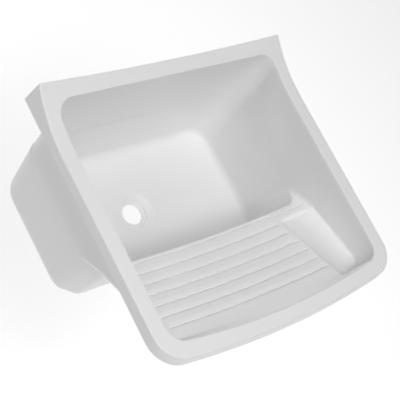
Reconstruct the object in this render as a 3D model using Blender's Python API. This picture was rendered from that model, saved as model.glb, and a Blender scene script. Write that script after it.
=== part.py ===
"""Wall-hung laundry tub with a moulded washboard and soap trough.

The tub is one moulding.  Its skin is a stack of closed loops, each extruded from the one
before it: up the outside, over the rim, down the inside and back through the drain hole.
Two steel hanger plates sit behind the back flange, each held by two countersunk screws
and nuts.  The wall is the plane Y = 0, the front faces -Y, and Z = 0 is the flat rim.
"""
import bmesh
import bpy
from math import asin, atan2, cos, hypot, pi, radians, sin, sqrt
from mathutils import Matrix, Vector

MM = 0.001

# Rim
RIM_HALF_WIDTH = 250.0      # across the top edge, each side of the middle
RIM_DEPTH = 449.0           # wall to the middle of the front edge
FRONT_BULGE = 17.5          # how far the front edge bows out of its ends
FRONT_CORNER = 41.0
BACK_CORNER = 2.0
BAND = 26.0                 # flat band between the outer edge and the opening
BAND_FRONT = 22.5           # the same along the front
SKIRT_BACK = 15.5           # skirt height below the rim plane, at the wall
SKIRT_FRONT = 20.7
SKIRT_FLARE = 0.134         # outward lean of the skirt, per mm of height
RISE_LENGTH = 110.0         # the sides sweep up over this length towards the wall
RISE_HEIGHT = 27.0
BACK_DIP = 10.8             # the back edge is this much lower in the middle
EDGE = 2.2                  # rounding of the rim's edges
WALL = 4.2

# Bowl
OPENING_BACK_CORNER = 28.0
OPENING_FRONT_CORNER = 25.0
BOWL_CORNER = 40.0          # upright corners, at the floor
DRAFT = 0.047               # inward lean of the bowl's walls, per mm of depth
FLOOR = -223.0
UNDERSIDE = -231.2
FLOOR_FILLET = 14.0
BOWL_FRONT_TOP = -264.5     # crest of the washboard
BOWL_FRONT_FOOT = -250.0

# Washboard, a ramp from the front of the opening down to the crest
RAMP_FRONT = -426.5
RAMP_TOP = -1.0
RAMP_SLOPE = 0.5375
ROW_BOW = 8.0               # how far a rib bows forward in the middle
CREST_CORNER = 36.0
LEDGE_FILLET = 10.0
CHANNEL_COUNT = 7
CHANNEL_FIRST = -272.4
CHANNEL_PITCH = 20.0
CHANNEL_WIDTH = 8.5
CHANNEL_DEPTH = 3.0
CHANNEL_GROOVE = 1.8        # width of a channel's deep part
CHANNEL_SLOPE = 1.0         # depth where its long slope starts, behind the deep part
CHANNEL_LEFT = -202.0
CHANNEL_RIGHT = 131.0

# Soap trough, beside the washboard
TROUGH_LEFT = 132.0
TROUGH_BACK = -284.0
TROUGH_FRONT = -422.5
TROUGH_FLOOR = -73.7        # along the side wall, at 290 mm from the room's wall
TROUGH_SLOPE = 0.229
TROUGH_SAG = 7.0            # how far the floor hangs below a straight slope
TROUGH_FILLET = 3.0

# Drain
DRAIN_X = -11.0
DRAIN_Y = -152.6
DRAIN_RADIUS = 18.5
SEAT_RADIUS = 27.0
SEAT_DEPTH = 5.5
DISH_RADIUS = 43.0
DISH_DEPTH = 3.5

# Hanger plates and their fixings
HANGER_X = 165.0
HANGER_WIDTH = 56.0
HANGER_HEIGHT = 24.0
HANGER_THICKNESS = 2.0
HANGER_Z = -2.0
HANGER_CORNER = 4.0
KEYHOLE_RADIUS = 5.5
KEYHOLE_SLOT = 6.4
KEYHOLE_RISE = 8.0          # from the round entry up to the end of the slot
KEYHOLE_Z = -6.0
KEYHOLE_MARGIN = 1.0        # how much wider the flange's opening is than the plate's
SCREW_SPACING = 40.0
SCREW_RADIUS = 2.0
SCREW_LENGTH = 11.5
SCREW_HEAD_RADIUS = 3.8
SCREW_HEAD_DEPTH = 2.0
SCREW_SIDES = 16
SOCKET_RADIUS = 1.25
NUT_ACROSS_FLATS = 7.0
NUT_HEIGHT = 3.0
GAP = 0.3

# Columns of the skin: how many points each stretch of a loop has
SIDE_COLUMNS = 8
CORNER_COLUMNS = 3
BACK_COLUMNS = 6
LEDGE_COLUMNS = 3
BOARD_X = (-204, -201, -190, -120, -60, 0, 60, 127, 130.5)
TROUGH_COLUMNS = 6


def lerp(start, end, share):
    return start + (end - start) * share


def ease(share):
    """0 to 1 with level ends, clamped outside them."""
    share = min(1.0, max(0.0, share))
    return share * share * (3.0 - 2.0 * share)


# --- Heights of the rim, the ramp and the trough --------------------------------------

def rise(y):
    """The rim's sides curve up to the wall on one arc."""
    run = max(0.0, y + RISE_LENGTH)
    radius = (RISE_LENGTH ** 2 + RISE_HEIGHT ** 2) / (2.0 * RISE_HEIGHT)
    return radius - sqrt(radius ** 2 - run ** 2)


def rim_height(x, y):
    across = min(1.0, abs(x) / RIM_HALF_WIDTH)
    dip = BACK_DIP * (1.0 - across ** 2)
    return rise(y) - dip * max(0.0, 1.0 + y / BAND)


def skirt_depth(y):
    return lerp(SKIRT_BACK, SKIRT_FRONT, min(1.0, -y / RIM_DEPTH))


def ramp_height(row):
    return RAMP_TOP - RAMP_SLOPE * (row - RAMP_FRONT)


def bow(x, row):
    """How far back of its middle a row lies at x; the front panel bows with the rim."""
    front_share = ease((CHANNEL_FIRST - CHANNEL_PITCH * CHANNEL_COUNT - row) / 14.0)
    opening = RIM_HALF_WIDTH - BAND
    return lerp(ROW_BOW, FRONT_BULGE, front_share) * (x / opening) ** 2


def channel_drop(row):
    """Depth of the washing channels: a narrow deep part and a long shallow slope."""
    for index in range(CHANNEL_COUNT):
        start = CHANNEL_FIRST - CHANNEL_PITCH * index
        width = CHANNEL_WIDTH if index else CHANNEL_WIDTH / 2
        place = row - start
        if -0.4 < place <= 0.0:
            return CHANNEL_DEPTH * (1.0 + place / 0.4)
        if 0.0 < place <= CHANNEL_GROOVE:
            return CHANNEL_DEPTH
        if CHANNEL_GROOVE < place < width:
            return CHANNEL_SLOPE * (width - place) / (width - CHANNEL_GROOVE)
    return 0.0


def trough_share(row, thickness):
    """1 where the trough has its full depth, 0 outside it."""
    back = (TROUGH_BACK + thickness - row) / 8.0
    front = (row - TROUGH_FRONT + thickness) / 4.0
    return ease(back) * ease(front)


def trough_height(row):
    """Where the trough's floor meets the side wall."""
    return TROUGH_FLOOR - TROUGH_SLOPE * (row + 290.0)


def trough_drop(part, fall, sag):
    """Depth below the ramp, from the trough's left edge (0) to the side wall (1)."""
    return (fall * part + 4.0 * sag * part * (1.0 - part)) * ease(part / 0.15)


# --- Plan of a loop ------------------------------------------------------------------

def quarter(centre_x, centre_y, radius, start_degrees, count):
    """Points of a quarter circle, without its first point."""
    points = []
    for step in range(1, count + 1):
        angle = radians(start_degrees + 90.0 * step / count)
        points.append((centre_x + radius * cos(angle), centre_y + radius * sin(angle)))
    return points


def spread(path, start, end, count):
    """Evenly spaced points on a polyline between two distances, without the first."""
    marks = [start + (end - start) * step / count for step in range(1, count + 1)]
    points = []
    travelled = 0.0
    for (ax, ay), (bx, by) in zip(path, path[1:]):
        length = hypot(bx - ax, by - ay)
        while marks and marks[0] <= travelled + length + 1e-6:
            share = (marks.pop(0) - travelled) / length if length else 0.0
            points.append((lerp(ax, bx, share), lerp(ay, by, share)))
        travelled += length
    return points


def path_length(path):
    return sum(hypot(bx - ax, by - ay) for (ax, ay), (bx, by) in zip(path, path[1:]))


def front_corner(half_width, front, radius, bulge):
    """The rounded corner from the bowed front edge to the straight side."""
    end_x = half_width - radius
    end = (end_x, front + bulge * (end_x / half_width) ** 2)
    slope = 2.0 * bulge * end_x / half_width ** 2
    reach = 0.5523 * radius
    lean = hypot(1.0, slope)
    start = (half_width, front + bulge + radius)
    points = []
    for step in range(17):
        t = step / 16.0
        weights = ((1 - t) ** 3, 3 * (1 - t) ** 2 * t, 3 * (1 - t) * t ** 2, t ** 3)
        knots = (end, (end_x + reach / lean, end[1] + reach * slope / lean),
                 (half_width, start[1] - reach), start)
        points.append((sum(w * k[0] for w, k in zip(weights, knots)),
                       sum(w * k[1] for w, k in zip(weights, knots))))
    return points


def side_points(path, corner_length):
    """The columns of one side, from its front end to the start of the back corner."""
    total = path_length(path)
    split = max(corner_length, 0.1 * total)
    head = spread(path, 0.0, split, CORNER_COLUMNS)
    tail = []
    for step in range(1, SIDE_COLUMNS + 1):
        share = 1.0 - (1.0 - step / SIDE_COLUMNS) ** 1.4
        tail.extend(spread(path, split, split + (total - split) * share, 1))
    return [path[0]] + head + tail


def back_points(half_width, back, radius):
    """The back corners and the back edge, right to left, without the first point."""
    right = quarter(half_width - radius, back - radius, radius, 0.0, CORNER_COLUMNS)
    reach = half_width - radius
    middle = [(lerp(reach, -reach, step / BACK_COLUMNS), back)
              for step in range(1, BACK_COLUMNS + 1)]
    left = quarter(-reach, back - radius, radius, 90.0, CORNER_COLUMNS)
    return right + middle + left[:-1]


def front_layout():
    """Where each front column lies on a plain loop, as a share of the half width."""
    left = [-0.995 + 0.045 * step / LEDGE_COLUMNS for step in range(LEDGE_COLUMNS)]
    board = [x / 215.0 for x in BOARD_X]
    trough = [lerp(TROUGH_LEFT / 215.0, 0.945, step / TROUGH_COLUMNS)
              for step in range(TROUGH_COLUMNS)]
    wall_columns = 2 * LEDGE_COLUMNS
    right = [0.95 + 0.045 * step / wall_columns for step in range(wall_columns)]
    return left + board + trough + right


FRONT = front_layout()


def plain_loop(inset, back, back_radius, front_radius, height):
    """A loop round the rim; height(x, y) gives its Z.

    The outer face leans out as it goes down, and the band's inner edge doesn't.
    """
    half_width = RIM_HALF_WIDTH - inset
    front = inset * BAND_FRONT / BAND - RIM_DEPTH
    corner = front_corner(half_width, front, front_radius, FRONT_BULGE)
    path = corner + [(half_width, back - back_radius)]
    right = side_points(path, path_length(corner))
    loop = right + back_points(half_width, back, back_radius)
    loop += [(-x, y) for x, y in reversed(right)]
    end_x = half_width - front_radius
    for share in FRONT:
        x = end_x * share
        loop.append((x, front + FRONT_BULGE * (x / half_width) ** 2))
    points = []
    for x, y in loop:
        z = height(x, y)
        lean = SKIRT_FLARE * z * (1.0 - inset / BAND)
        points.append((x * (1.0 - lean / RIM_HALF_WIDTH), y * (1.0 - lean / RIM_DEPTH), z))
    return points


# --- Loops that cross the washboard -----------------------------------------------------

def inner_half_width(z):
    return RIM_HALF_WIDTH - BAND + DRAFT * min(0.0, z)


def back_of_bowl(z):
    return -BAND + DRAFT * min(0.0, z)


def back_corner(z):
    return lerp(OPENING_BACK_CORNER, BOWL_CORNER, min(1.0, z / FLOOR))


def crest_turn(x, half_width, radius):
    """How far the crest turns back where it meets the side walls."""
    reach = min(radius, max(0.0, abs(x) - (half_width - radius)))
    return radius - sqrt(radius ** 2 - reach ** 2)


def ledge_fillet(row, fan):
    room = -0.6 * ramp_height(row)
    return lerp(min(LEDGE_FILLET, max(1.2, room)), 2.5, fan)


def ledge_loop(row, thickness, fan):
    """A loop whose front lies across the ramp and the trough.

    thickness is 0 on the inside and the wall's on the outside.  fan goes from 0 to 1
    over the lip, where the ends of the row turn back to meet the bowl's corners.
    """
    fillet = ledge_fillet(row, fan) + thickness
    drop = thickness * hypot(1.0, RAMP_SLOPE)
    radius = CREST_CORNER + thickness
    half_width = inner_half_width(ramp_height(row)) + thickness

    def plan_y(x):
        return row + bow(x, row) + fan * crest_turn(x, half_width, radius)

    def board_z(x):
        return ramp_height(plan_y(x) - bow(x, row)) - drop

    front = BAND_FRONT - thickness - RIM_DEPTH
    corner = front_corner(half_width, front, OPENING_FRONT_CORNER + thickness, FRONT_BULGE)
    while len(corner) > 1 and corner[1][1] < plan_y(corner[1][0]):
        corner.pop(0)
    if corner[0][1] < plan_y(corner[0][0]) and len(corner) > 1:
        (ax, ay), (bx, by) = corner[:2]
        share = (plan_y(ax) - ay) / ((plan_y(ax) - ay) - (plan_y(bx) - by))
        corner[0] = (lerp(ax, bx, share), lerp(ay, by, share))
    elif len(corner) == 1:
        corner = [(half_width, plan_y(half_width))]
    end_x = corner[0][0]
    if thickness:
        under_rim = -thickness - 1.5 + 0.1 * (RAMP_FRONT - row)
        fillet = min(fillet, under_rim - board_z(end_x))
    wall_z = board_z(end_x) + fillet

    share = trough_share(row, thickness)
    depth = (ramp_height(row) - trough_height(row)) * share
    trough_fillet = lerp(fillet, TROUGH_FILLET + thickness, share)

    columns = []
    for step in range(1, LEDGE_COLUMNS + 1):
        angle = pi + 0.5 * pi * step / LEDGE_COLUMNS
        x = -end_x + fillet * (1.0 + cos(angle))
        columns.append((x, board_z(x) + fillet * (1.0 + sin(angle))))
    board_reach = min(1.0, (end_x - fillet - 1.0) / 206.0) * (1.0 - thickness / 100.0)
    for x in BOARD_X:
        x *= board_reach
        inside = CHANNEL_LEFT < x < CHANNEL_RIGHT - 1.0
        cut = channel_drop(row) if inside and not thickness else 0.0
        columns.append((x, board_z(x) - cut))
    slope_start = TROUGH_LEFT * board_reach
    flat_end = end_x - trough_fillet
    for step in range(TROUGH_COLUMNS):
        part = (step + 0.5) / TROUGH_COLUMNS
        x = lerp(slope_start, flat_end, part)
        columns.append((x, board_z(x) - trough_drop(part, depth, TROUGH_SAG * share)))
    floor_z = board_z(flat_end) - depth
    arc = [(flat_end, floor_z)]
    arc += quarter(flat_end, floor_z + trough_fillet, trough_fillet, 270.0, 12)
    arc.append((end_x, max(wall_z, floor_z + trough_fillet + 0.05)))
    columns.append(arc[0])
    columns += spread(arc, 0.0, path_length(arc), 2 * LEDGE_COLUMNS)[:-1]

    back = back_of_bowl(wall_z) + thickness
    back_radius = back_corner(wall_z) + thickness
    path = corner + [(half_width, back - back_radius)]
    right = side_points(path, path_length(corner))
    plan = right + back_points(half_width, back, back_radius)
    plan += [(-x, y) for x, y in reversed(right)]
    keep = max(0.0, 1.0 + wall_z / 45.0)
    loop = [(x, y, wall_z + keep * rim_height(x, y)) for x, y in plan]
    return loop + [(x, plan_y(x), z) for x, z in columns]


def bowl_loop(share, thickness, inset, z_shift, crest):
    """A loop of the bowl below the crest.

    share runs from 0 at the crest to 1 where the floor's rounding starts.
    """
    foot = FLOOR + FLOOR_FILLET
    level = lerp(ramp_height(BOWL_FRONT_TOP), foot, share)
    half_width = inner_half_width(level) + thickness - inset
    radius = lerp(CREST_CORNER, BOWL_CORNER, share) + thickness - inset
    front = lerp(BOWL_FRONT_TOP, BOWL_FRONT_FOOT, share) - thickness + inset
    front_bow = ROW_BOW * (1.0 - share)
    back = back_of_bowl(level) + thickness - inset
    back_radius = back_corner(level) + thickness - inset

    def front_y(x):
        return front + front_bow * (x / half_width) ** 2 + crest_turn(x, half_width, radius)

    path = [(half_width, front_y(half_width)), (half_width, back - back_radius)]
    right = side_points(path, 0.0)
    loop = right + back_points(half_width, back, back_radius)
    loop += [(-x, y) for x, y in reversed(right)]
    for x, _, _ in crest[len(loop):]:
        x *= half_width / crest[0][0]
        loop.append((x, front_y(x)))
    return [(x, y, lerp(above[2], foot, share) + z_shift)
            for (x, y), above in zip(loop, crest)]


def drain_loop(around, radius, z):
    """A circle at the drain, with one point in line with each point of another loop."""
    loop = []
    for x, y, _ in around:
        angle = atan2(y - DRAIN_Y, x - DRAIN_X)
        loop.append((DRAIN_X + radius * cos(angle), DRAIN_Y + radius * sin(angle), z))
    return loop


def between(first, second, share):
    return [tuple(lerp(a, b, share) for a, b in zip(p, q)) for p, q in zip(first, second)]


# --- The tub ---------------------------------------------------------------------------

def inside_rows():
    """Where the inside is cut across the ramp, from the front to the lip."""
    rows = [-424.7, -420.5, -416.7, -413.0]
    for index in reversed(range(CHANNEL_COUNT)):
        start = CHANNEL_FIRST - CHANNEL_PITCH * index
        width = CHANNEL_WIDTH if index else CHANNEL_WIDTH / 2
        rows += [start - 0.5, start - 0.01, start + CHANNEL_GROOVE,
                 start + CHANNEL_GROOVE + 0.5, start + width]
        if index == 1:
            rows.append(start + 0.45 * CHANNEL_PITCH)
    return sorted(rows)


def bowl_loops(thickness, crest):
    """The bowl from the lip down to its flat floor, and the flat part's outline last."""
    shares = (0.25, 0.6, 1.0) if thickness else (0.03, 0.25, 0.5, 0.75, 1.0)
    loops = [bowl_loop(share, thickness, 0.0, 0.0, crest) for share in shares]
    radius = FLOOR_FILLET + thickness
    bottom = UNDERSIDE if thickness else FLOOR
    for degrees in (30.0, 60.0, 90.0):
        turn = radians(degrees)
        fall = (bottom - FLOOR - FLOOR_FILLET) * sin(turn)
        loops.append(bowl_loop(1.0, thickness, radius * (1.0 - cos(turn)), fall, crest))
    return loops


def inside_loops():
    lip = BOWL_FRONT_TOP - 1.0
    crest = ledge_loop(lip, 0.0, 1.0)
    loops = [ledge_loop(row, 0.0, 0.0) for row in inside_rows()]
    loops += [ledge_loop(lerp(-268.0, lip, fan), 0.0, fan) for fan in (0.35, 0.7)]
    loops.append(crest)
    loops += bowl_loops(0.0, crest)
    edge = loops[-1]
    dish = drain_loop(edge, DISH_RADIUS, FLOOR)
    loops += [between(edge, dish, 0.5), dish]
    loops.append(drain_loop(edge, SEAT_RADIUS + 1.5, FLOOR - DISH_DEPTH))
    loops.append(drain_loop(edge, SEAT_RADIUS, FLOOR - SEAT_DEPTH))
    loops.append(drain_loop(edge, DRAIN_RADIUS, FLOOR - SEAT_DEPTH))
    return loops


def outside_loops():
    lip = BOWL_FRONT_TOP - 1.0 - WALL
    crest = ledge_loop(lip, WALL, 1.0)
    bowl = bowl_loops(WALL, crest)
    edge = bowl[-1]
    hole = drain_loop(edge, DRAIN_RADIUS, UNDERSIDE)
    loops = [hole, between(hole, edge, 0.5)] + bowl[::-1]
    loops += [crest, ledge_loop(lip - 2.5, WALL, 0.5)]
    rows = (-273.5, -279.8, -283.8, -287.8, -310.0, -335.0, -360.0, -385.0, -402.0, -413.0, -420.0)
    loops += [ledge_loop(row, WALL, 0.0) for row in rows]
    return loops


def rim_loops():
    """Under the rim, round the skirt and over the band to the opening."""
    def under(x, y):
        return rim_height(x, y) - WALL

    def bottom(x, y):
        return -skirt_depth(y)

    def shoulder(x, y):
        return rim_height(x, y) - EDGE

    def near_top(x, y):
        return rim_height(x, y) - 0.3 * EDGE

    def inner_edge(x, y):
        return rim_height(x, y) - 0.5

    opening = OPENING_BACK_CORNER
    front = OPENING_FRONT_CORNER
    return [
        plain_loop(BAND - WALL, WALL - BAND, opening + WALL, front + WALL, under),
        plain_loop(WALL, -WALL, 1.0, FRONT_CORNER - WALL, under),
        plain_loop(WALL, -WALL, 1.0, FRONT_CORNER - WALL, bottom),
        plain_loop(0.0, 0.0, BACK_CORNER, FRONT_CORNER, bottom),
        plain_loop(0.0, 0.0, BACK_CORNER, FRONT_CORNER, shoulder),
        plain_loop(0.3 * EDGE, -0.3 * EDGE, BACK_CORNER, FRONT_CORNER, near_top),
        plain_loop(EDGE, -EDGE, BACK_CORNER, FRONT_CORNER - EDGE, rim_height),
        plain_loop(0.5 * BAND, -0.5 * BAND, 0.5 * opening, 0.75 * FRONT_CORNER, rim_height),
        plain_loop(BAND - 2.5, 2.5 - BAND, opening, front + 2.5, rim_height),
        plain_loop(BAND - 0.3, 0.3 - BAND, opening, front + 0.3, inner_edge),
    ]


def new_object(name, mesh, material):
    mesh.materials.append(material)
    obj = bpy.data.objects.new(name, mesh)
    bpy.context.scene.collection.objects.link(obj)
    return obj


def loft(name, loops, material):
    """One closed skin through all the loops, and from the last back to the first."""
    mesh = bpy.data.meshes.new(name)
    skin = bmesh.new()
    count = len(loops[0])
    first = bmesh.ops.create_circle(skin, segments=count, radius=1.0)["verts"]
    first.sort(key=lambda vert: atan2(vert.co.y, vert.co.x) % (2.0 * pi))
    ring = first
    for step, points in enumerate(loops + loops[:1]):
        if step:
            edges = [skin.edges.get((a, b)) for a, b in zip(ring, ring[1:] + ring[:1])]
            made = bmesh.ops.extrude_edge_only(skin, edges=edges)["geom"]
            fresh = {item for item in made if isinstance(item, bmesh.types.BMVert)}
            grown = []
            for vert in ring:
                partner = next(edge.other_vert(vert) for edge in vert.link_edges
                               if edge.other_vert(vert) in fresh)
                grown.append(partner)
            ring = grown
        for vert, point in zip(ring, points):
            vert.co = Vector(point) * MM
    bmesh.ops.remove_doubles(skin, verts=first + ring, dist=1e-6)
    bmesh.ops.recalc_face_normals(skin, faces=skin.faces)
    skin.to_mesh(mesh)
    skin.free()
    return new_object(name, mesh, material)


# --- Hanging plates and their fasteners ---------------------------------------------------

def solid(name, skin, material):
    bmesh.ops.recalc_face_normals(skin, faces=skin.faces)
    mesh = bpy.data.meshes.new(name)
    skin.to_mesh(mesh)
    skin.free()
    return new_object(name, mesh, material)


def turned(name, x, z, profile, sides, material):
    """A solid turned round an axis along Y; profile holds (y, radius) from end to end."""
    skin = bmesh.new()
    verts = [skin.verts.new(Vector((x + radius, y, z)) * MM) for y, radius in profile]
    edges = [skin.edges.new(pair) for pair in zip(verts, verts[1:])]
    bmesh.ops.spin(skin, geom=verts + edges, cent=Vector((x, 0.0, z)) * MM,
                   axis=(0.0, 1.0, 0.0), angle=2.0 * pi, steps=sides, use_merge=True)
    bmesh.ops.remove_doubles(skin, verts=skin.verts, dist=1e-6)
    return solid(name, skin, material)


def keyhole_cutter(name, x, margin, back, front, material):
    """A round entry below a narrow slot, both grown by the margin."""
    radius = KEYHOLE_RADIUS + margin
    half_slot = KEYHOLE_SLOT / 2.0 + margin
    mouth = asin(half_slot / radius)
    outline = []
    for step in range(17):
        angle = pi / 2.0 + mouth + (2.0 * pi - 2.0 * mouth) * step / 16
        outline.append((radius * cos(angle), KEYHOLE_Z + radius * sin(angle)))
    for step in range(9):
        angle = pi * step / 8
        top = KEYHOLE_Z + KEYHOLE_RISE
        outline.append((half_slot * cos(angle), top + half_slot * sin(angle)))
    skin = bmesh.new()
    verts = [skin.verts.new(Vector((x + px, back, pz)) * MM) for px, pz in outline]
    face = skin.faces.new(verts)
    made = bmesh.ops.extrude_face_region(skin, geom=[face])["geom"]
    moved = [item for item in made if isinstance(item, bmesh.types.BMVert)]
    bmesh.ops.translate(skin, verts=moved, vec=Vector((0.0, front - back, 0.0)) * MM)
    return solid(name, skin, material)


def screw_cutter(name, x, z, front, material):
    """Clearance for a countersunk screw put in from the wall side."""
    head = SCREW_HEAD_RADIUS + GAP
    shank = SCREW_RADIUS + GAP
    neck = -GAP - SCREW_HEAD_DEPTH
    profile = ((1.0, 0.0), (1.0, head), (-GAP, head), (neck, shank), (front, shank),
               (front, 0.0))
    return turned(name, x, z, profile, SCREW_SIDES, material)


def cut(target, cutter):
    cutter.hide_render = True
    cutter.display_type = "WIRE"
    boolean = target.modifiers.new(cutter.name, "BOOLEAN")
    boolean.operation = "DIFFERENCE"
    boolean.solver = "EXACT"
    boolean.object = cutter


def make_screw(name, x, z, material):
    back = -GAP
    neck = back - SCREW_HEAD_DEPTH
    tip = back - SCREW_LENGTH
    socket = 1.3
    profile = ((back - socket, 0.0), (back - socket, SOCKET_RADIUS), (back, SOCKET_RADIUS),
               (back, SCREW_HEAD_RADIUS - 0.3), (back - 0.3, SCREW_HEAD_RADIUS),
               (neck, SCREW_RADIUS), (tip + 0.6, SCREW_RADIUS),
               (tip, SCREW_RADIUS - 0.5), (tip, 0.0))
    return turned(name, x, z, profile, SCREW_SIDES, material)


def make_nut(name, x, z, back, material):
    corner = NUT_ACROSS_FLATS / 2.0 / cos(pi / 6.0)
    front = back - NUT_HEIGHT
    chamfer = 0.4
    profile = ((back, 0.0), (back, corner - chamfer), (back - chamfer, corner),
               (front + chamfer, corner), (front, corner - chamfer), (front, 0.0))
    nut = turned(name, x, z, profile, 6, material)
    bore = SCREW_RADIUS + GAP
    length = ((back + 1.0, 0.0), (back + 1.0, bore), (front - 1.0, bore), (front - 1.0, 0.0))
    cut(nut, turned(name + "_bore", x, z, length, SCREW_SIDES, material))
    return nut


def make_plate(name, x, back, material):
    """A flat steel plate with rounded corners and a hanging keyhole."""
    skin = bmesh.new()
    middle = Vector((x, back - HANGER_THICKNESS / 2.0, HANGER_Z)) * MM
    bmesh.ops.create_cube(skin, size=1.0, matrix=Matrix.Translation(middle))
    size = Vector((HANGER_WIDTH, HANGER_THICKNESS, HANGER_HEIGHT)) * MM
    bmesh.ops.scale(skin, verts=skin.verts, vec=size, space=Matrix.Translation(-middle))
    upright = [edge for edge in skin.edges
               if abs(edge.verts[0].co.y - edge.verts[1].co.y) > HANGER_THICKNESS * MM / 2.0]
    bmesh.ops.bevel(skin, geom=upright, offset=HANGER_CORNER * MM, offset_type="OFFSET",
                    segments=4, profile=0.5, affect="EDGES", material=-1)
    return solid(name, skin, material)


def surface(name, colour, roughness, metallic):
    material = bpy.data.materials.new(name)
    material.use_nodes = True
    shader = material.node_tree.nodes["Principled BSDF"]
    shader.inputs["Base Color"].default_value = (*colour, 1.0)
    shader.inputs["Roughness"].default_value = roughness
    shader.inputs["Metallic"].default_value = metallic
    return material


def shade(obj, degrees):
    obj.data.shade_smooth()
    obj.data.set_sharp_from_angle(angle=radians(degrees))


# --- Assembly -----------------------------------------------------------------------------

for old in list(bpy.data.objects):
    bpy.data.objects.remove(old, do_unlink=True)

resin = surface("white_resin", (0.86, 0.86, 0.85), 0.35, 0.0)
plate_steel = surface("galvanised_steel", (0.60, 0.61, 0.62), 0.45, 1.0)
screw_steel = surface("zinc_plated_steel", (0.66, 0.67, 0.69), 0.30, 1.0)

tub = loft("tub", outside_loops() + rim_loops() + inside_loops(), resin)
plate_back = -WALL - GAP
plate_front = plate_back - HANGER_THICKNESS
for side, centre in (("left", -HANGER_X), ("right", HANGER_X)):
    plate = make_plate("hanger_plate_" + side, centre, plate_back, plate_steel)
    entry = keyhole_cutter("flange_keyhole_" + side, centre, KEYHOLE_MARGIN, 1.0,
                           plate_back, resin)
    cut(tub, entry)
    cut(plate, keyhole_cutter("plate_keyhole_" + side, centre, 0.0, plate_back + 1.0,
                              plate_front - 1.0, plate_steel))
    for end, offset in (("outer", 1.0), ("inner", -1.0)):
        outward = 1.0 if centre > 0.0 else -1.0
        x = centre + outward * offset * SCREW_SPACING / 2.0
        tag = side + "_" + end
        hole = screw_cutter("screw_hole_" + tag, x, HANGER_Z, plate_front - 1.0, resin)
        cut(tub, hole)
        cut(plate, hole)
        shade(make_screw("screw_" + tag, x, HANGER_Z, screw_steel), 40.0)
        make_nut("nut_" + tag, x, HANGER_Z, plate_front - GAP, screw_steel)
shade(tub, 35.0)
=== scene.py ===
"""Looks of a wall-hung laundry tub with a moulded washboard and a soap trough.

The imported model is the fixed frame.  The tub is rebuilt here as one fine skin, and the
hanger plates, screws and nuts behind its back edge get their real finishes.
Lengths are in millimetres until a mesh is written, and the frame is in metres.
"""
from math import asin, atan2, cos, hypot, pi, radians, sin, sqrt

import bmesh
import bpy
from mathutils import Matrix, Vector


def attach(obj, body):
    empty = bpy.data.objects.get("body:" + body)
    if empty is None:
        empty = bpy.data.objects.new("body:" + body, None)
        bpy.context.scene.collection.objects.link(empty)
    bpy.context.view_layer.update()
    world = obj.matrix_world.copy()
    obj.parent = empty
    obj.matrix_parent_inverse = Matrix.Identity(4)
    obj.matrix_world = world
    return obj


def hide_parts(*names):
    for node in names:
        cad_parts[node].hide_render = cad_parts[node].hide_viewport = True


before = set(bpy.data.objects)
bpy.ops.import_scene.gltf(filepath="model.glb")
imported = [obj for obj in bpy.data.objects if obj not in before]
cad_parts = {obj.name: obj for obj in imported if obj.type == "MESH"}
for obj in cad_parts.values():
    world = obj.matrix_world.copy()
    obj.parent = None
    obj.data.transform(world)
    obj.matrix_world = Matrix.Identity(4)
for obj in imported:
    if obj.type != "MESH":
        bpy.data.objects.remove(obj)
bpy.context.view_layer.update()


# --- Tub ------------------------------------------------------------------------------
# One moulding of white filled resin, about 4 mm thick: a deep bowl, a ribbed washboard
# that slopes down into it, a soap trough and a rolled rim that rises to the wall.
# Its skin is a stack of closed loops, each extruded from the last: up the outside, over
# the rim, down the inside and back out through the drain hole.

MM = 0.001
RIM_HALF_WIDTH = 250.0      # across the top edge, each side of the middle
RIM_DEPTH = 449.0           # wall to the middle of the front edge
FRONT_BULGE = 17.5          # how far the front edge bows out of its ends
FRONT_CORNER = 41.0
BACK_CORNER = 2.0
BAND = 26.0                 # flat band between the outer edge and the opening
BAND_FRONT = 22.5           # the same along the front
RISE_FADE = 45.0            # the sweep fades out over this depth inside the opening
SKIRT_BACK = 15.5           # skirt height below the rim plane, at the wall
SKIRT_FRONT = 20.7
SKIRT_FLARE = 0.134         # outward lean of the skirt, per mm of height
RISE_LENGTH = 110.0         # the sides sweep up over this length towards the wall
RISE_HEIGHT = 27.0
BACK_DIP = 10.8             # the back edge is this much lower in the middle
EDGE = 2.2                  # rounding of the rim's outer edge
INNER_EDGE = 1.0            # rounding of the rim into the opening
WALL = 4.2
QUARTER_HANDLE = 0.5523     # handle of a curve that draws a quarter circle, per radius

# Bowl
OPENING_BACK_CORNER = 28.0
OPENING_FRONT_CORNER = 25.0
BOWL_CORNER = 40.0          # upright corners, at the floor
DRAFT = 0.047               # inward lean of the bowl's walls, per mm of depth
FLOOR = -223.0
UNDERSIDE = -231.2
FLOOR_FILLET = 14.0
BOWL_LEVELS = 18            # loops down the wall
FLOOR_STEPS = 8             # loops round the fillet
BOWL_FRONT_TOP = -264.5     # crest of the washboard
BOWL_FRONT_FOOT = -250.0

# Washboard, a ramp from the front of the opening down to the crest
RAMP_FRONT = -426.5
RAMP_TOP = -1.0
RAMP_SLOPE = 0.5375
ROW_BOW = 8.0               # how far a rib bows forward in the middle
BOW_RUN = 14.0              # the front panel takes up the rim's own bow over this length
CREST_CORNER = 36.0
CREST_START = -268.1        # its ends turn back from here on the inside
CREST_START_BELOW = -272.0  # and from here on the outside
CREST_LOOPS = 12
LEDGE_FILLET = 10.0
CREST_FILLET = 2.5
BOARD_HALF_WIDTH = 206.0    # at which BOARD_X holds as it stands
CHANNEL_COUNT = 7
CHANNEL_FIRST = -272.4
CHANNEL_PITCH = 20.0
CHANNEL_WIDTH = 8.5
CHANNEL_DEPTH = 3.0
CHANNEL_STEP = 0.6          # run of a channel's steep front face
CHANNEL_GROOVE = 1.8        # width of a channel's deep part
CHANNEL_SLOPE = 1.0         # depth where its long slope starts, behind the deep part
CHANNEL_LEFT = -202.0
CHANNEL_LEFT_RUN = 1.6      # length over which a channel runs out
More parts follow.
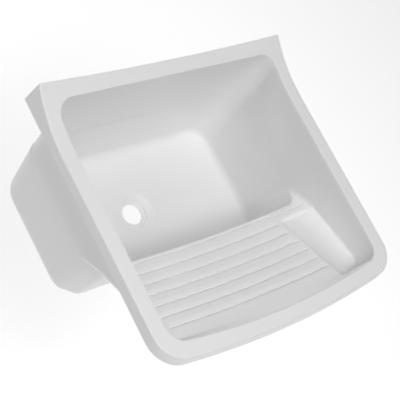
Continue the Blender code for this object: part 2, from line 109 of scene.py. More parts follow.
CHANNEL_RIGHT = 131.0
CHANNEL_RIGHT_RUN = 3.0
SLOT_START = -275.0         # a short groove beside the board, above the trough
SLOT_LEFT = 141.0
SLOT_LEFT_RUN = 4.0
SLOT_RIGHT = 214.0
SLOT_RIGHT_RUN = 30.0
LIP_RADIUS = 3.0            # rounding of the crest

# Soap trough, beside the washboard
TROUGH_LEFT = 132.0
TROUGH_BACK = -284.0
TROUGH_BACK_RUN = 8.0       # it reaches its full depth over this length
TROUGH_FRONT = -422.5
TROUGH_FRONT_RUN = 4.0
TROUGH_FLOOR_AT = -290.0    # where its floor is TROUGH_FLOOR high along the side wall
TROUGH_FLOOR = -73.7
TROUGH_SLOPE = 0.229
TROUGH_SAG = 7.0            # how far the floor hangs below a straight slope
TROUGH_SHOULDER = 0.15      # share of the width that rounds its left edge
TROUGH_FILLET = 3.0

# Drain
DRAIN_X = -11.0
DRAIN_Y = -152.6
DRAIN_RADIUS = 18.5
SEAT_RADIUS = 27.0
SEAT_DEPTH = 5.5
DISH_RADIUS = 43.0          # shallow dish round the seat
DISH_DEPTH = 3.5
DISH_STEPS = 8

# Openings through the flange behind the back edge, for the hanger plates' fixings
FIXINGS_Z = -2.0
HANGER_X = (-165.0, 165.0)
SCREW_X = (-185.0, -145.0, 145.0, 185.0)
KEYHOLE_RADIUS = 6.5
KEYHOLE_HALF_SLOT = 4.2
KEYHOLE_Z = -6.0
KEYHOLE_RISE = 8.0          # middle of the slot's round top, above the entry's middle
SCREW_RADIUS = 2.0
HEAD_RADIUS = 3.8
HEAD_DEPTH = 2.0
GAP = 0.3                   # clearance between the fixings and what they sit in

# Columns of the skin: how many points each stretch of a loop has
SIDE_COLUMNS = 40
CORNER_COLUMNS = 12
BACK_COLUMNS = 40
LEDGE_COLUMNS = 9
WALL_COLUMNS = 2 * LEDGE_COLUMNS
FRONT_HALF_WIDTH = 215.0    # of the straight part that BOARD_X is a share of on the rim
BOARD_X = ([-204.0, -203.0, -202.2, -201.4, -200.6, -199.5, -197.5, -195.0]
           + [-190.0 + 10.0 * step for step in range(32)]
           + [123.0, 125.5, 127.5, 128.6, 129.4, 130.2, 131.0])
TROUGH_COLUMNS = 24


def lerp(start, end, share):
    return start + (end - start) * share


def ease(share):
    """0 to 1 with level ends, clamped outside them."""
    share = min(1.0, max(0.0, share))
    return share * share * (3.0 - 2.0 * share)


# --- Heights of the rim, the ramp and the trough --------------------------------------

def rise(y):
    """The rim's sides curve up to the wall on one arc."""
    run = max(0.0, y + RISE_LENGTH)
    radius = (RISE_LENGTH ** 2 + RISE_HEIGHT ** 2) / (2.0 * RISE_HEIGHT)
    return radius - sqrt(radius ** 2 - run ** 2)


def rim_height(x, y):
    across = min(1.0, abs(x) / RIM_HALF_WIDTH)
    dip = BACK_DIP * (1.0 - across ** 2)
    return rise(y) - dip * max(0.0, 1.0 + y / BAND)


def skirt_depth(y):
    return lerp(SKIRT_BACK, SKIRT_FRONT, min(1.0, -y / RIM_DEPTH))


def ramp_height(row):
    return RAMP_TOP - RAMP_SLOPE * (row - RAMP_FRONT)


def bow(x, row):
    """How far back of its middle a row lies at x; the front panel bows with the rim."""
    front_share = ease((CHANNEL_FIRST - CHANNEL_PITCH * CHANNEL_COUNT - row) / BOW_RUN)
    opening = RIM_HALF_WIDTH - BAND
    return lerp(ROW_BOW, FRONT_BULGE, front_share) * (x / opening) ** 2


def groove_share(place):
    """1 in a channel's deep part, 0 outside it."""
    front = (place + CHANNEL_STEP) / CHANNEL_STEP
    back = (CHANNEL_GROOVE + CHANNEL_STEP - place) / CHANNEL_STEP
    return ease(front) * ease(back)


def channel_drop(x, row):
    """Depth of the washing channels: a narrow deep part and a long shallow slope."""
    if x > SLOT_LEFT:
        ends = (ease((x - SLOT_LEFT) / SLOT_LEFT_RUN)
                * ease((SLOT_RIGHT - x) / SLOT_RIGHT_RUN))
        return CHANNEL_DEPTH * groove_share(row - SLOT_START) * ends
    for index in range(CHANNEL_COUNT):
        start = CHANNEL_FIRST - CHANNEL_PITCH * index
        width = CHANNEL_WIDTH if index else CHANNEL_WIDTH / 2
        place = row - start
        if -CHANNEL_STEP < place < width:
            slope = CHANNEL_SLOPE * min(1.0, (width - place) / (width - CHANNEL_GROOVE))
            slope *= ease((place + CHANNEL_STEP) / CHANNEL_STEP)
            ends = (ease((x - CHANNEL_LEFT) / CHANNEL_LEFT_RUN)
                    * ease((CHANNEL_RIGHT - x) / CHANNEL_RIGHT_RUN))
            return ends * (slope + (CHANNEL_DEPTH - CHANNEL_SLOPE) * groove_share(place))
    return 0.0


def trough_share(row, thickness):
    """1 where the trough has its full depth, 0 outside it."""
    back = (TROUGH_BACK + thickness - row) / TROUGH_BACK_RUN
    front = (row - TROUGH_FRONT + thickness) / TROUGH_FRONT_RUN
    return ease(back) * ease(front)


def trough_height(row):
    """Where the trough's floor meets the side wall."""
    return TROUGH_FLOOR - TROUGH_SLOPE * (row - TROUGH_FLOOR_AT)


def trough_drop(part, fall, sag):
    """Depth below the ramp, from the trough's left edge (0) to the side wall (1)."""
    return (fall * part + 4.0 * sag * part * (1.0 - part)) * ease(part / TROUGH_SHOULDER)


# --- Plan of a loop ------------------------------------------------------------------

def quarter(centre_x, centre_y, radius, start_degrees, count):
    """Points of a quarter circle, without its first point."""
    points = []
    for step in range(1, count + 1):
        angle = radians(start_degrees + 90.0 * step / count)
        points.append((centre_x + radius * cos(angle), centre_y + radius * sin(angle)))
    return points


def spread(path, start, end, count):
    """Evenly spaced points on a polyline between two distances, without the first."""
    marks = [start + (end - start) * step / count for step in range(1, count + 1)]
    points = []
    travelled = 0.0
    for (ax, ay), (bx, by) in zip(path, path[1:]):
        length = hypot(bx - ax, by - ay)
        while marks and marks[0] <= travelled + length + 1e-6:
            share = (marks.pop(0) - travelled) / length if length else 0.0
            points.append((lerp(ax, bx, share), lerp(ay, by, share)))
        travelled += length
    return points


def path_length(path):
    return sum(hypot(bx - ax, by - ay) for (ax, ay), (bx, by) in zip(path, path[1:]))


def front_corner(half_width, front, radius, bulge):
    """The rounded corner from the bowed front edge to the straight side."""
    end_x = half_width - radius
    end = (end_x, front + bulge * (end_x / half_width) ** 2)
    slope = 2.0 * bulge * end_x / half_width ** 2
    reach = QUARTER_HANDLE * radius
    lean = hypot(1.0, slope)
    start = (half_width, front + bulge + radius)
    points = []
    for step in range(17):
        t = step / 16.0
        weights = ((1 - t) ** 3, 3 * (1 - t) ** 2 * t, 3 * (1 - t) * t ** 2, t ** 3)
        knots = (end, (end_x + reach / lean, end[1] + reach * slope / lean),
                 (half_width, start[1] - reach), start)
        points.append((sum(w * k[0] for w, k in zip(weights, knots)),
                       sum(w * k[1] for w, k in zip(weights, knots))))
    return points


def side_points(path, corner_length):
    """The columns of one side, from its front end to the start of the back corner."""
    total = path_length(path)
    split = max(corner_length, 0.1 * total)
    head = spread(path, 0.0, split, CORNER_COLUMNS)
    tail = []
    for step in range(1, SIDE_COLUMNS + 1):
        share = 1.0 - (1.0 - step / SIDE_COLUMNS) ** 1.4
        tail.extend(spread(path, split, split + (total - split) * share, 1))
    return [path[0]] + head + tail


def back_points(half_width, back, radius):
    """The back corners and the back edge, right to left, without the first point."""
    right = quarter(half_width - radius, back - radius, radius, 0.0, CORNER_COLUMNS)
    reach = half_width - radius
    middle = [(lerp(reach, -reach, step / BACK_COLUMNS), back)
              for step in range(1, BACK_COLUMNS + 1)]
    left = quarter(-reach, back - radius, radius, 90.0, CORNER_COLUMNS)
    return right + middle + left[:-1]


def front_layout():
    """Where each front column lies on a plain loop, as a share of the half width."""
    left = [-0.995 + 0.045 * step / LEDGE_COLUMNS for step in range(LEDGE_COLUMNS)]
    board = [x / FRONT_HALF_WIDTH for x in BOARD_X]
    trough = [lerp(TROUGH_LEFT / FRONT_HALF_WIDTH, 0.945, step / TROUGH_COLUMNS)
              for step in range(TROUGH_COLUMNS)]
    right = [0.95 + 0.045 * step / WALL_COLUMNS for step in range(WALL_COLUMNS)]
    return left + board + trough + right


FRONT = front_layout()


def plain_loop(inset, back, back_radius, front_radius, height):
    """A loop round the rim; height(x, y) gives its Z.

    The outer face leans out as it goes down, and the band's inner edge doesn't.
    """
    half_width = RIM_HALF_WIDTH - inset
    front = inset * BAND_FRONT / BAND - RIM_DEPTH
    corner = front_corner(half_width, front, front_radius, FRONT_BULGE)
    path = corner + [(half_width, back - back_radius)]
    right = side_points(path, path_length(corner))
    loop = right + back_points(half_width, back, back_radius)
    loop += [(-x, y) for x, y in reversed(right)]
    end_x = half_width - front_radius
    for share in FRONT:
        x = end_x * share
        loop.append((x, front + FRONT_BULGE * (x / half_width) ** 2))
    points = []
    for x, y in loop:
        z = height(x, y)
        lean = SKIRT_FLARE * z * (1.0 - inset / BAND)
        points.append((x * (1.0 - lean / RIM_HALF_WIDTH), y * (1.0 - lean / RIM_DEPTH), z))
    return points


# --- Loops that cross the washboard -----------------------------------------------------

def inner_half_width(z):
    return RIM_HALF_WIDTH - BAND + DRAFT * min(0.0, z)


def back_of_bowl(z):
    return -BAND + DRAFT * min(0.0, z)


def back_corner(z):
    return lerp(OPENING_BACK_CORNER, BOWL_CORNER, min(1.0, z / FLOOR))


def crest_turn(x, half_width, radius):
    """How far the crest turns back where it meets the side walls."""
    reach = min(radius, max(0.0, abs(x) - (half_width - radius)))
    return radius - sqrt(radius ** 2 - reach ** 2)


def ledge_fillet(row, fan):
    """Radius where the ramp meets the side walls; it's small where there's no height."""
    room = 0.75 * (-ramp_height(row) - INNER_EDGE - 0.3)
    return lerp(min(LEDGE_FILLET, max(0.1, room)), CREST_FILLET, fan)


def lip_drop(row):
    """The crest rounds over into the bowl's front wall."""
    past = min(LIP_RADIUS, max(0.0, row - BOWL_FRONT_TOP + LIP_RADIUS))
    return LIP_RADIUS - sqrt(LIP_RADIUS ** 2 - past ** 2)


def ledge_loop(row, thickness, fan):
    """A loop whose front lies across the ramp and the trough.

    thickness is 0 on the inside and the wall's on the outside.  fan goes from 0 to 1
    over the lip, where the ends of the row turn back to meet the bowl's corners.
    """
    fillet = ledge_fillet(row, fan) + thickness
    drop = thickness * hypot(1.0, RAMP_SLOPE)
    radius = CREST_CORNER + thickness
    half_width = inner_half_width(ramp_height(row)) + thickness

    def plan_y(x):
        return row + bow(x, row) + fan * crest_turn(x, half_width, radius)

    def board_z(x):
        return ramp_height(plan_y(x) - bow(x, row)) - drop - lip_drop(row + thickness)

    front = BAND_FRONT - thickness - RIM_DEPTH
    corner = front_corner(half_width, front, OPENING_FRONT_CORNER + thickness, FRONT_BULGE)
    while len(corner) > 1 and corner[1][1] < plan_y(corner[1][0]):
        corner.pop(0)
    if corner[0][1] < plan_y(corner[0][0]) and len(corner) > 1:
        (ax, ay), (bx, by) = corner[:2]
        share = (plan_y(ax) - ay) / ((plan_y(ax) - ay) - (plan_y(bx) - by))
        corner[0] = (lerp(ax, bx, share), lerp(ay, by, share))
    elif len(corner) == 1:
        corner = [(half_width, plan_y(half_width))]
    end_x = corner[0][0]
    if thickness:
        under_rim = -thickness - 1.5 + 0.1 * (RAMP_FRONT - row)
        fillet = min(fillet, under_rim - board_z(end_x))
    wall_z = board_z(end_x) + fillet

    share = trough_share(row, thickness)
    depth = (ramp_height(row) - trough_height(row)) * share
    trough_fillet = lerp(fillet, TROUGH_FILLET + thickness, share)

    columns = []
    for step in range(1, LEDGE_COLUMNS + 1):
        angle = pi + 0.5 * pi * step / LEDGE_COLUMNS
        x = -end_x + fillet * (1.0 + cos(angle))
        columns.append((x, board_z(x) + fillet * (1.0 + sin(angle))))
    board_reach = min(1.0, (end_x - fillet - 1.0) / BOARD_HALF_WIDTH)
    board_reach *= 1.0 - thickness / 100.0

    def cut(x):
        return 0.0 if thickness else channel_drop(x, row)

    for x in BOARD_X:
        columns.append((x * board_reach, board_z(x * board_reach) - cut(x)))
    slope_start = TROUGH_LEFT * board_reach
    flat_end = end_x - trough_fillet
    for step in range(TROUGH_COLUMNS):
        part = (step + 0.5) / TROUGH_COLUMNS
        x = lerp(slope_start, flat_end, part)
        drop_here = trough_drop(part, depth, TROUGH_SAG * share) + cut(x)
        columns.append((x, board_z(x) - drop_here))
    floor_z = board_z(flat_end) - depth
    arc = [(flat_end, floor_z)]
    arc += quarter(flat_end, floor_z + trough_fillet, trough_fillet, 270.0, 24)
    arc.append((end_x, max(wall_z, floor_z + trough_fillet + 0.05)))
    columns.append(arc[0])
    columns += spread(arc, 0.0, path_length(arc), WALL_COLUMNS)[:-1]

    back = back_of_bowl(wall_z) + thickness
    back_radius = back_corner(wall_z) + thickness
    path = corner + [(half_width, back - back_radius)]
    right = side_points(path, path_length(corner))
    plan = right + back_points(half_width, back, back_radius)
    plan += [(-x, y) for x, y in reversed(right)]
    keep = max(0.0, 1.0 + wall_z / RISE_FADE)
    loop = [(x, y, wall_z + keep * rim_height(x, y)) for x, y in plan]
    return loop + [(x, plan_y(x), z) for x, z in columns]


def bowl_loop(share, thickness, inset, z_shift, crest):
    """A loop of the bowl below the crest.

    share runs from 0 at the crest to 1 where the floor's rounding starts.
    """
    foot = FLOOR + FLOOR_FILLET
    level = lerp(ramp_height(BOWL_FRONT_TOP), foot, share)
    half_width = inner_half_width(level) + thickness - inset
    radius = lerp(CREST_CORNER, BOWL_CORNER, share) + thickness - inset
    front = lerp(BOWL_FRONT_TOP, BOWL_FRONT_FOOT, share) - thickness + inset
    front_bow = ROW_BOW * (1.0 - share)
    back = back_of_bowl(level) + thickness - inset
    back_radius = back_corner(level) + thickness - inset

    def front_y(x):
        return front + front_bow * (x / half_width) ** 2 + crest_turn(x, half_width, radius)

    path = [(half_width, front_y(half_width)), (half_width, back - back_radius)]
    right = side_points(path, 0.0)
    loop = right + back_points(half_width, back, back_radius)
    loop += [(-x, y) for x, y in reversed(right)]
    for x, _, _ in crest[len(loop):]:
        x *= half_width / crest[0][0]
        loop.append((x, front_y(x)))
    return [(x, y, lerp(above[2], foot, share) + z_shift)
            for (x, y), above in zip(loop, crest)]


def drain_loop(around, radius, z):
    """A circle at the drain, with one point in line with each point of another loop."""
    loop = []
    for x, y, _ in around:
        angle = atan2(y - DRAIN_Y, x - DRAIN_X)
        loop.append((DRAIN_X + radius * cos(angle), DRAIN_Y + radius * sin(angle), z))
    return loop


def between(first, second, share):
    return [tuple(lerp(a, b, share) for a, b in zip(p, q)) for p, q in zip(first, second)]


def inside_rows():
    """Where the inside is cut across the ramp, from the front to the lip."""
    rows = [-425.9, -425.3, -424.5, -423.6, -422.6, -421.9, -421.2, -420.4, -419.6, -418.8,
            -418.0, -417.2, -416.4, -414.5, -411.0, -407.0, -403.5, -400.0, -397.0, -395.0]
    for index in range(CHANNEL_COUNT):
        start = CHANNEL_FIRST - CHANNEL_PITCH * index
        width = CHANNEL_WIDTH if index else CHANNEL_WIDTH / 2
        rows += [start + step for step in (-0.65, -0.45, -0.3, -0.15, 0.0, 0.9, 1.8)]
        rows += [start + step for step in (1.95, 2.1, 2.25, 2.45, 3.3)]
        if index:
            rows += [start + step for step in (4.8, 6.6, 8.4, 10.0, 12.5, 15.0, 17.5)]
    rows += [SLOT_START + step for step in (-0.65, -0.45, -0.3, -0.15, 0.0, 0.9, 1.6)]
    return sorted(rows)


def bowl_loops(thickness, crest):
    """The bowl from the lip down to its flat floor, and the flat part's outline last."""
    loops = []
    for step in range(1, BOWL_LEVELS + 1):
        share = (step / BOWL_LEVELS) ** 1.3
        loops.append(bowl_loop(share, thickness, 0.0, 0.0, crest))
    radius = FLOOR_FILLET + thickness
    bottom = UNDERSIDE if thickness else FLOOR
    for step in range(1, FLOOR_STEPS + 1):
        turn = radians(90.0 * step / FLOOR_STEPS)
        fall = (bottom - FLOOR - FLOOR_FILLET) * sin(turn)
        loops.append(bowl_loop(1.0, thickness, radius * (1.0 - cos(turn)), fall, crest))
    return loops


def inside_loops():
    """From the front of the opening over the ramp, down the bowl and out at the drain."""
    loops = [ledge_loop(row, 0.0, 0.0) for row in inside_rows()]
    for step in range(1, CREST_LOOPS + 1):
        row = lerp(CREST_START, BOWL_FRONT_TOP, step / CREST_LOOPS)
        loops.append(ledge_loop(row, 0.0, ease(step / CREST_LOOPS)))
    loops += bowl_loops(0.0, loops[-1])
    edge = loops[-1]
    dish = drain_loop(edge, DISH_RADIUS, FLOOR)
    loops += [between(edge, dish, share) for share in (0.2, 0.4, 0.6, 0.8, 1.0)]
    for step in range(1, DISH_STEPS + 1):
        share = step / DISH_STEPS
        radius = lerp(DISH_RADIUS, SEAT_RADIUS + 1.2, share)
        loops.append(drain_loop(edge, radius, FLOOR - DISH_DEPTH * ease(share) ** 0.8))
    for radius, depth in ((SEAT_RADIUS + 0.4, DISH_DEPTH + 0.2),
                          (SEAT_RADIUS, SEAT_DEPTH - 0.3),
                          (SEAT_RADIUS - 0.4, SEAT_DEPTH),
                          (DRAIN_RADIUS + 0.6, SEAT_DEPTH),
                          (DRAIN_RADIUS + 0.15, SEAT_DEPTH + 0.2),
                          (DRAIN_RADIUS, SEAT_DEPTH + 0.6)):
        loops.append(drain_loop(edge, radius, FLOOR - depth))
    return loops


def outside_loops():
    """From the drain's underside up round the bowl and under the ramp to the rim."""
    crest = ledge_loop(BOWL_FRONT_TOP - WALL, WALL, 1.0)
    bowl = bowl_loops(WALL, crest)
    edge = bowl[-1]
    hole = drain_loop(edge, DRAIN_RADIUS, UNDERSIDE + 0.5)
    rounded = drain_loop(edge, DRAIN_RADIUS + 0.5, UNDERSIDE)
    loops = [hole, rounded]
    loops += [between(rounded, edge, share) for share in (0.25, 0.5, 0.75)]
    loops += bowl[::-1] + [crest]
    for fan in (0.8, 0.6, 0.4, 0.2):
        row = lerp(CREST_START_BELOW, BOWL_FRONT_TOP - WALL, fan)
        loops.append(ledge_loop(row, WALL, fan))
    rows = [-273.0, -276.0] + [-279.5 - step for step in range(10)]
    rows += [-292.0 - 6.0 * step for step in range(20)] + [-411.0, -415.0, -418.0, -420.0]
    loops += [ledge_loop(row, WALL, 0.0) for row in rows]
    return loops


def rim_loops():
    """Under the rim, round the skirt and over the band to the opening."""
    def raised(offset):
        return lambda x, y: rim_height(x, y) + offset

    def hanging(offset):
        return lambda x, y: offset - skirt_depth(y)

    def skirt(share):
        return lambda x, y: lerp(-skirt_depth(y) + 0.8, rim_height(x, y) - EDGE, share)

    opening = OPENING_BACK_CORNER
    front = OPENING_FRONT_CORNER
    inner = FRONT_CORNER - WALL
    loops = [plain_loop(BAND - WALL - 2.0, WALL + 2.0 - BAND, opening + WALL, front + WALL + 2.0,
                        raised(-WALL)),
             plain_loop(0.5 * BAND, -0.5 * BAND, 0.5 * opening, 0.75 * FRONT_CORNER,
                        raised(-WALL)),
             plain_loop(WALL + 2.0, -WALL - 2.0, 1.0, inner - 2.0, raised(-WALL)),
             plain_loop(WALL + 0.6, -WALL - 0.6, 1.0, inner - 0.6, raised(-WALL - 0.6)),
             plain_loop(WALL, -WALL, 1.0, inner, raised(-WALL - 2.0)),
             plain_loop(WALL, -WALL, 1.0, inner, hanging(0.6)),
             plain_loop(WALL - 0.6, 0.6 - WALL, 1.0, inner + 0.6, hanging(0.0)),
             plain_loop(0.8, -0.8, BACK_CORNER, FRONT_CORNER - 0.8, hanging(0.0)),
             plain_loop(0.25, -0.25, BACK_CORNER, FRONT_CORNER, hanging(0.25))]
    loops += [plain_loop(0.0, 0.0, BACK_CORNER, FRONT_CORNER, skirt(step / 5))
              for step in range(6)]
    for step in range(1, 6):
        turn = radians(18.0 * step)
        inset = EDGE * (1.0 - cos(turn))
        loops.append(plain_loop(inset, -inset, BACK_CORNER, FRONT_CORNER - inset,
                                raised(EDGE * (sin(turn) - 1.0))))
    for inset in (0.2 * BAND, 0.4 * BAND, 0.6 * BAND, 0.8 * BAND, BAND - INNER_EDGE):
        share = (inset - EDGE) / (BAND - EDGE)
        loops.append(plain_loop(inset, -inset, lerp(BACK_CORNER, opening, share),
                                lerp(FRONT_CORNER - EDGE, front + INNER_EDGE, share ** 2),
                                raised(0.0)))
    for step in range(1, 6):
        turn = radians(16.0 * step)
        inset = BAND - INNER_EDGE * (1.0 - sin(turn))
        loops.append(plain_loop(inset, -inset, opening, front + BAND - inset,
                                raised(INNER_EDGE * (cos(turn) - 1.0))))
    return loops


def smooth_object(name, skin, degrees):
    """A finished piece from its skin, smooth except across edges sharper than this."""
    mesh = bpy.data.meshes.new(name)
    skin.to_mesh(mesh)
    skin.free()
    mesh.shade_smooth()
    mesh.set_sharp_from_angle(angle=radians(degrees))
    piece = bpy.data.objects.new(name, mesh)
    bpy.context.scene.collection.objects.link(piece)
    return piece


def loft(name, loops, degrees):
    """One closed skin through all the loops, and from the last back to the first."""
    skin = bmesh.new()
    count = len(loops[0])
    first = bmesh.ops.create_circle(skin, segments=count, radius=1.0)["verts"]
    first.sort(key=lambda vert: atan2(vert.co.y, vert.co.x) % (2.0 * pi))
    ring = first
    for step, points in enumerate(loops + loops[:1]):
        if step:
            edges = [skin.edges.get((a, b)) for a, b in zip(ring, ring[1:] + ring[:1])]
            made = bmesh.ops.extrude_edge_only(skin, edges=edges)["geom"]
            fresh = {item for item in made if isinstance(item, bmesh.types.BMVert)}
            grown = []
            for vert in ring:
                partner = next(edge.other_vert(vert) for edge in vert.link_edges
                               if edge.other_vert(vert) in fresh)
                grown.append(partner)
            ring = grown
        for vert, point in zip(ring, points):
            vert.co = Vector(point) * MM
    bmesh.ops.remove_doubles(skin, verts=first + ring, dist=1e-6)
    bmesh.ops.recalc_face_normals(skin, faces=skin.faces)
    return smooth_object(name, skin, degrees)


def add_turned(skin, x, profile, sides):
    """A solid turned round an axis along Y at a fixing; profile holds (y, radius)."""
    verts = [skin.verts.new(Vector((x + radius, y, FIXINGS_Z)) * MM) for y, radius in profile]
    edges = [skin.edges.new(pair) for pair in zip(verts, verts[1:])]
    bmesh.ops.spin(skin, geom=verts + edges, cent=Vector((x, 0.0, FIXINGS_Z)) * MM,
                   axis=(0.0, 1.0, 0.0), angle=2.0 * pi, steps=sides, use_merge=True)
    bmesh.ops.remove_doubles(skin, verts=skin.verts, dist=1e-6)


def add_keyhole(skin, x):
    """A round entry below a narrow slot, right through the flange."""
    mouth = asin(KEYHOLE_HALF_SLOT / KEYHOLE_RADIUS)
    outline = []
    for step in range(49):
        angle = pi / 2.0 + mouth + (2.0 * pi - 2.0 * mouth) * step / 48
        outline.append((KEYHOLE_RADIUS * cos(angle), KEYHOLE_Z + KEYHOLE_RADIUS * sin(angle)))
    for step in range(25):
        angle = pi * step / 24
        top = KEYHOLE_Z + KEYHOLE_RISE
        outline.append((KEYHOLE_HALF_SLOT * cos(angle), top + KEYHOLE_HALF_SLOT * sin(angle)))
    verts = [skin.verts.new(Vector((x + px, 1.0, pz)) * MM) for px, pz in outline]
    made = bmesh.ops.extrude_face_region(skin, geom=[skin.faces.new(verts)])["geom"]
    moved = [item for item in made if isinstance(item, bmesh.types.BMVert)]
    bmesh.ops.translate(skin, verts=moved, vec=(0.0, (-WALL - GAP - 1.0) * MM, 0.0))


def flange_openings():
    """Two keyholes and four countersunk screw holes, as one cutter."""
    head, shank = HEAD_RADIUS + GAP, SCREW_RADIUS + GAP
    sink = -GAP - HEAD_DEPTH
    skin = bmesh.new()
    for x in HANGER_X:
        add_keyhole(skin, x)
    for x in SCREW_X:
        add_turned(skin, x, ((1.0, 0.0), (1.0, head), (-GAP, head), (sink, shank),
                             (-WALL - 1.0, shank), (-WALL - 1.0, 0.0)), 48)
    bmesh.ops.recalc_face_normals(skin, faces=skin.faces)
    return smooth_object("flange_openings", skin, 35.0)


def carve(piece, cutter, degrees):
    """Cut one solid out of a piece, and drop the cutter."""
    boolean = piece.modifiers.new(cutter.name, "BOOLEAN")
    boolean.operation = "DIFFERENCE"
    boolean.solver = "EXACT"
    boolean.object = cutter
    cut_piece = piece.evaluated_get(bpy.context.evaluated_depsgraph_get())
    mesh = bpy.data.meshes.new_from_object(cut_piece)
    piece.modifiers.clear()
    piece.data = mesh
    mesh.shade_smooth()
    mesh.set_sharp_from_angle(angle=radians(degrees))
    bpy.data.objects.remove(cutter, do_unlink=True)


def linear(hex_colour):
    """An sRGB hex colour as linear RGBA."""
    channels = [int(hex_colour[place:place + 2], 16) / 255.0 for place in (1, 3, 5)]
    return [c / 12.92 if c <= 0.04045 else ((c + 0.055) / 1.055) ** 2.4
            for c in channels] + [1.0]


def add_node(tree, kind, settings=(), links=()):
    """Add a node, set its attributes and sockets, and link other nodes' outputs to it."""
    node = tree.nodes.new(kind)
    for key, value in dict(settings).items():
        if key in node.inputs:
            node.inputs[key].default_value = value
        else:
            setattr(node, key, value)
    for socket, output in dict(links).items():
        tree.links.new(output, node.inputs[socket])
    return node


def moulded_resin():
    """Mineral-filled polyester resin, moulded against a satin tool.

    White all through, with a soft sheen, a faint orange-peel ripple a few millimetres
    across and hardly visible differences in gloss where it cured.
    """
    material = bpy.data.materials.new("moulded_white_resin")
    material.use_nodes = True
    tree = material.node_tree
    shader = tree.nodes["Principled BSDF"]
    shader.inputs["Metallic"].default_value = 0.0
    shader.inputs["IOR"].default_value = 1.52
    place = add_node(tree, "ShaderNodeTexCoord").outputs["Object"]
    cloud = add_node(tree, "ShaderNodeTexNoise",
                     {"Scale": 1.0 / 0.09, "Detail": 3.0, "Roughness": 0.5}, {"Vector": place})
    tint = add_node(tree, "ShaderNodeMix", {"data_type": "RGBA"},
                    {"Factor": cloud.outputs["Fac"]})
    tint.inputs["A"].default_value = linear("#F0F0F0")
    tint.inputs["B"].default_value = linear("#F2F2F2")
    tree.links.new(tint.outputs["Result"], shader.inputs["Base Color"])
    gloss = add_node(tree, "ShaderNodeMapRange", {"To Min": 0.28, "To Max": 0.34},
                     {"Value": cloud.outputs["Fac"]})
    tree.links.new(gloss.outputs["Result"], shader.inputs["Roughness"])
    peel = add_node(tree, "ShaderNodeTexNoise",
                    {"Scale": 1.0 / 0.004, "Detail": 2.0, "Roughness": 0.4}, {"Vector": place})
    ripple = add_node(tree, "ShaderNodeBump", {"Strength": 0.12, "Distance": 0.00006},
                      {"Height": peel.outputs["Fac"]})
    tree.links.new(ripple.outputs["Normal"], shader.inputs["Normal"])
    return material


tub = loft("moulded_tub", outside_loops() + rim_loops() + inside_loops(), 55.0)
carve(tub, flange_openings(), 55.0)
tub.data.materials.append(moulded_resin())
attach(tub, "root")
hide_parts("tub")


# --- Hanger plates, screws and nuts -----------------------------------------------------
# Two 2 mm steel plates behind the back edge carry the tub on wall screws, through
# keyholes.  Each is held by two countersunk machine screws with nuts.

PLATE = 2.0                 # thickness of a hanger plate
SCREW_LENGTH = 11.5
THREAD_RINGS = 12
THREAD_PITCH = 0.7
THREAD_DEPTH = 0.36
NUT_HALF_FLATS = 3.5
NUT_HALF_CORNERS = 4.05
NUT_HEIGHT = 3.0


def zinc_steel(name, dark, light, roughness, flower):
    """Zinc on mild steel: a cool grey metal, broken into crystals this many mm across."""
    material = bpy.data.materials.new(name)
    material.use_nodes = True
    tree = material.node_tree
    shader = tree.nodes["Principled BSDF"]
    shader.inputs["Metallic"].default_value = 1.0
    place = add_node(tree, "ShaderNodeTexCoord").outputs["Object"]
    crystals = add_node(tree, "ShaderNodeTexVoronoi", {"Scale": 1.0 / (flower * MM)},
                        {"Vector": place})
    shade = add_node(tree, "ShaderNodeSeparateColor", (), {"Color": crystals.outputs["Color"]})
    tint = add_node(tree, "ShaderNodeMix", {"data_type": "RGBA"},
                    {"Factor": shade.outputs["Red"]})
    tint.inputs["A"].default_value = linear(dark)
    tint.inputs["B"].default_value = linear(light)
    tree.links.new(tint.outputs["Result"], shader.inputs["Base Color"])
    gloss = add_node(tree, "ShaderNodeMapRange",
                     {"To Min": roughness - 0.08, "To Max": roughness + 0.08},
                     {"Value": shade.outputs["Green"]})
    tree.links.new(gloss.outputs["Result"], shader.inputs["Roughness"])
    return material


galvanised = zinc_steel("hot_dip_galvanised_steel", "#9EA3A8", "#C2C6CA", 0.42, 5.0)
plated = zinc_steel("bright_zinc_plated_steel", "#B4B9C2", "#CDD1D8", 0.28, 0.6)
for node_name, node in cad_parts.items():
    if node_name.startswith("hanger_plate"):
        node.data.materials.clear()
        node.data.materials.append(galvanised)


def countersunk_screw(name, x):
    """An M4 screw: a flat head with a round recess, and a thread cut as fine rings."""
    neck = -GAP - HEAD_DEPTH
    tip = -GAP - SCREW_LENGTH
    profile = [(-GAP - 1.3, 0.0), (-GAP - 1.3, 1.05), (-GAP - 1.2, 1.2), (-GAP - 0.1, 1.25),
               (-GAP, 1.35), (-GAP, HEAD_RADIUS - 0.3), (-GAP - 0.1, HEAD_RADIUS - 0.08),
               (-GAP - 0.3, HEAD_RADIUS), (neck, SCREW_RADIUS)]
    root = SCREW_RADIUS - THREAD_DEPTH
    for turn in range(THREAD_RINGS):
        crest = neck - 0.6 - THREAD_PITCH * turn
        profile += [(crest, SCREW_RADIUS), (crest - 0.1, SCREW_RADIUS),
                    (crest - 0.35, root), (crest - 0.45, root)]
    profile += [(tip + 0.5, SCREW_RADIUS - 0.3), (tip, SCREW_RADIUS - 0.6), (tip, 0.0)]
    skin = bmesh.new()
    add_turned(skin, x, profile, 40)
    bmesh.ops.recalc_face_normals(skin, faces=skin.faces)
    return smooth_object(name, skin, 30.0)


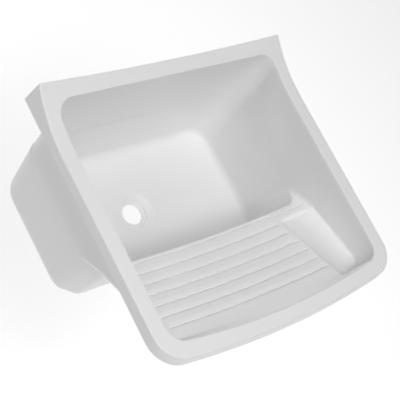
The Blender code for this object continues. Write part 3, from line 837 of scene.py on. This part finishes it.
def hex_nut(name, x):
    """A hexagon nut, 7 mm across flats, with its corners chamfered and its bore eased."""
    back = -WALL - PLATE - 2.0 * GAP
    front = back - NUT_HEIGHT
    sides = 72
    loops = []
    for y, limit in ((back - 0.25, 2.3), (back, 2.55), (back, 3.45),
                     (back - 0.35, NUT_HALF_CORNERS), (front + 0.35, NUT_HALF_CORNERS),
                     (front, 3.45), (front, 2.55), (front + 0.25, 2.3)):
        loop = []
        for step in range(sides):
            angle = 2.0 * pi * step / sides
            flat = NUT_HALF_FLATS / cos((angle + pi / 6.0) % (pi / 3.0) - pi / 6.0)
            radius = min(limit, flat)
            loop.append((x + radius * cos(angle), y, FIXINGS_Z + radius * sin(angle)))
        loops.append(loop)
    return loft(name, loops, 25.0)


for x in SCREW_X:
    side = "left" if x < 0.0 else "right"
    end = "outer" if abs(x) > abs(HANGER_X[0]) else "inner"
    for kind, piece in (("screw", countersunk_screw("machine_screw_" + side + end, x)),
                        ("nut", hex_nut("hexagon_nut_" + side + end, x))):
        piece.data.materials.append(plated)
        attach(piece, "root")
        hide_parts(kind + "_" + side + "_" + end)


# --- Floor, lights and camera -------------------------------------------------------------
# A plain white studio floor far below the tub, which hangs at working height, a faint
# even sky, the strongest softbox up on the left in front, and weaker ones all round.

FLOOR_LEVEL = -0.95         # metres below the rim
FLOOR_HALF_WIDTH = 9.0
LIGHT_TARGET = (0.0, -0.22, -0.1)
LIGHT_DISTANCE = 2.6
LIGHT_SIZE = 1.0

floor_skin = bmesh.new()
bmesh.ops.create_grid(floor_skin, x_segments=1, y_segments=1, size=FLOOR_HALF_WIDTH,
                      matrix=Matrix.Translation((0.0, 0.0, FLOOR_LEVEL)))
studio_floor = smooth_object("studio_floor", floor_skin, 30.0)
paint = bpy.data.materials.new("matt_white_floor_paint")
paint.use_nodes = True
paint_shader = paint.node_tree.nodes["Principled BSDF"]
paint_shader.inputs["Base Color"].default_value = linear("#F8F8F8")
paint_shader.inputs["Roughness"].default_value = 0.9
paint_shader.inputs["Emission Color"].default_value = linear("#FFFFFF")
paint_shader.inputs["Emission Strength"].default_value = 0.6
studio_floor.data.materials.append(paint)

sky = bpy.data.worlds.new("studio_sky")
sky.use_nodes = True
sky.node_tree.nodes["Background"].inputs["Color"].default_value = linear("#FFFFFF")
sky.node_tree.nodes["Background"].inputs["Strength"].default_value = 0.02
bpy.context.scene.world = sky
bpy.context.scene.view_settings.view_transform = "Standard"


def soft_light(name, around, height, watts):
    """A square softbox aimed at the bowl: degrees round from the front, and up."""
    lamp = bpy.data.lights.new(name, "AREA")
    lamp.size = LIGHT_SIZE
    lamp.energy = watts
    holder = bpy.data.objects.new(name, lamp)
    away = Vector((sin(radians(around)) * cos(radians(height)),
                   -cos(radians(around)) * cos(radians(height)), sin(radians(height))))
    holder.location = Vector(LIGHT_TARGET) + LIGHT_DISTANCE * away
    holder.rotation_euler = (-away).to_track_quat("-Z", "Y").to_euler()
    bpy.context.scene.collection.objects.link(holder)


SOFTBOXES = {                # degrees round, degrees up, watts
    "left_front_softbox": (315.0, 60.0, 27.0),
    "overhead_softbox": (0.0, 90.0, 13.5),
    "back_left_softbox": (225.0, 35.0, 6.0),
    "low_front_softbox": (0.0, 35.0, 7.0),
    "high_front_softbox": (0.0, 60.0, 4.5),
    "back_right_softbox": (135.0, 35.0, 4.5),
    "back_softbox": (180.0, 40.0, 5.0),
}
for name, (around, height, watts) in SOFTBOXES.items():
    soft_light(name, around, height, watts)

view = bpy.data.cameras.new("studio_camera")
view.lens = 99.2
view.sensor_width = 36.0
camera = bpy.data.objects.new("studio_camera", view)
camera.location = (-1.117716, -0.559783, 1.216209)
camera.rotation_euler = (radians(30.8695), radians(-30.5596), radians(-32.1892))
bpy.context.scene.collection.objects.link(camera)
bpy.context.scene.camera = camera
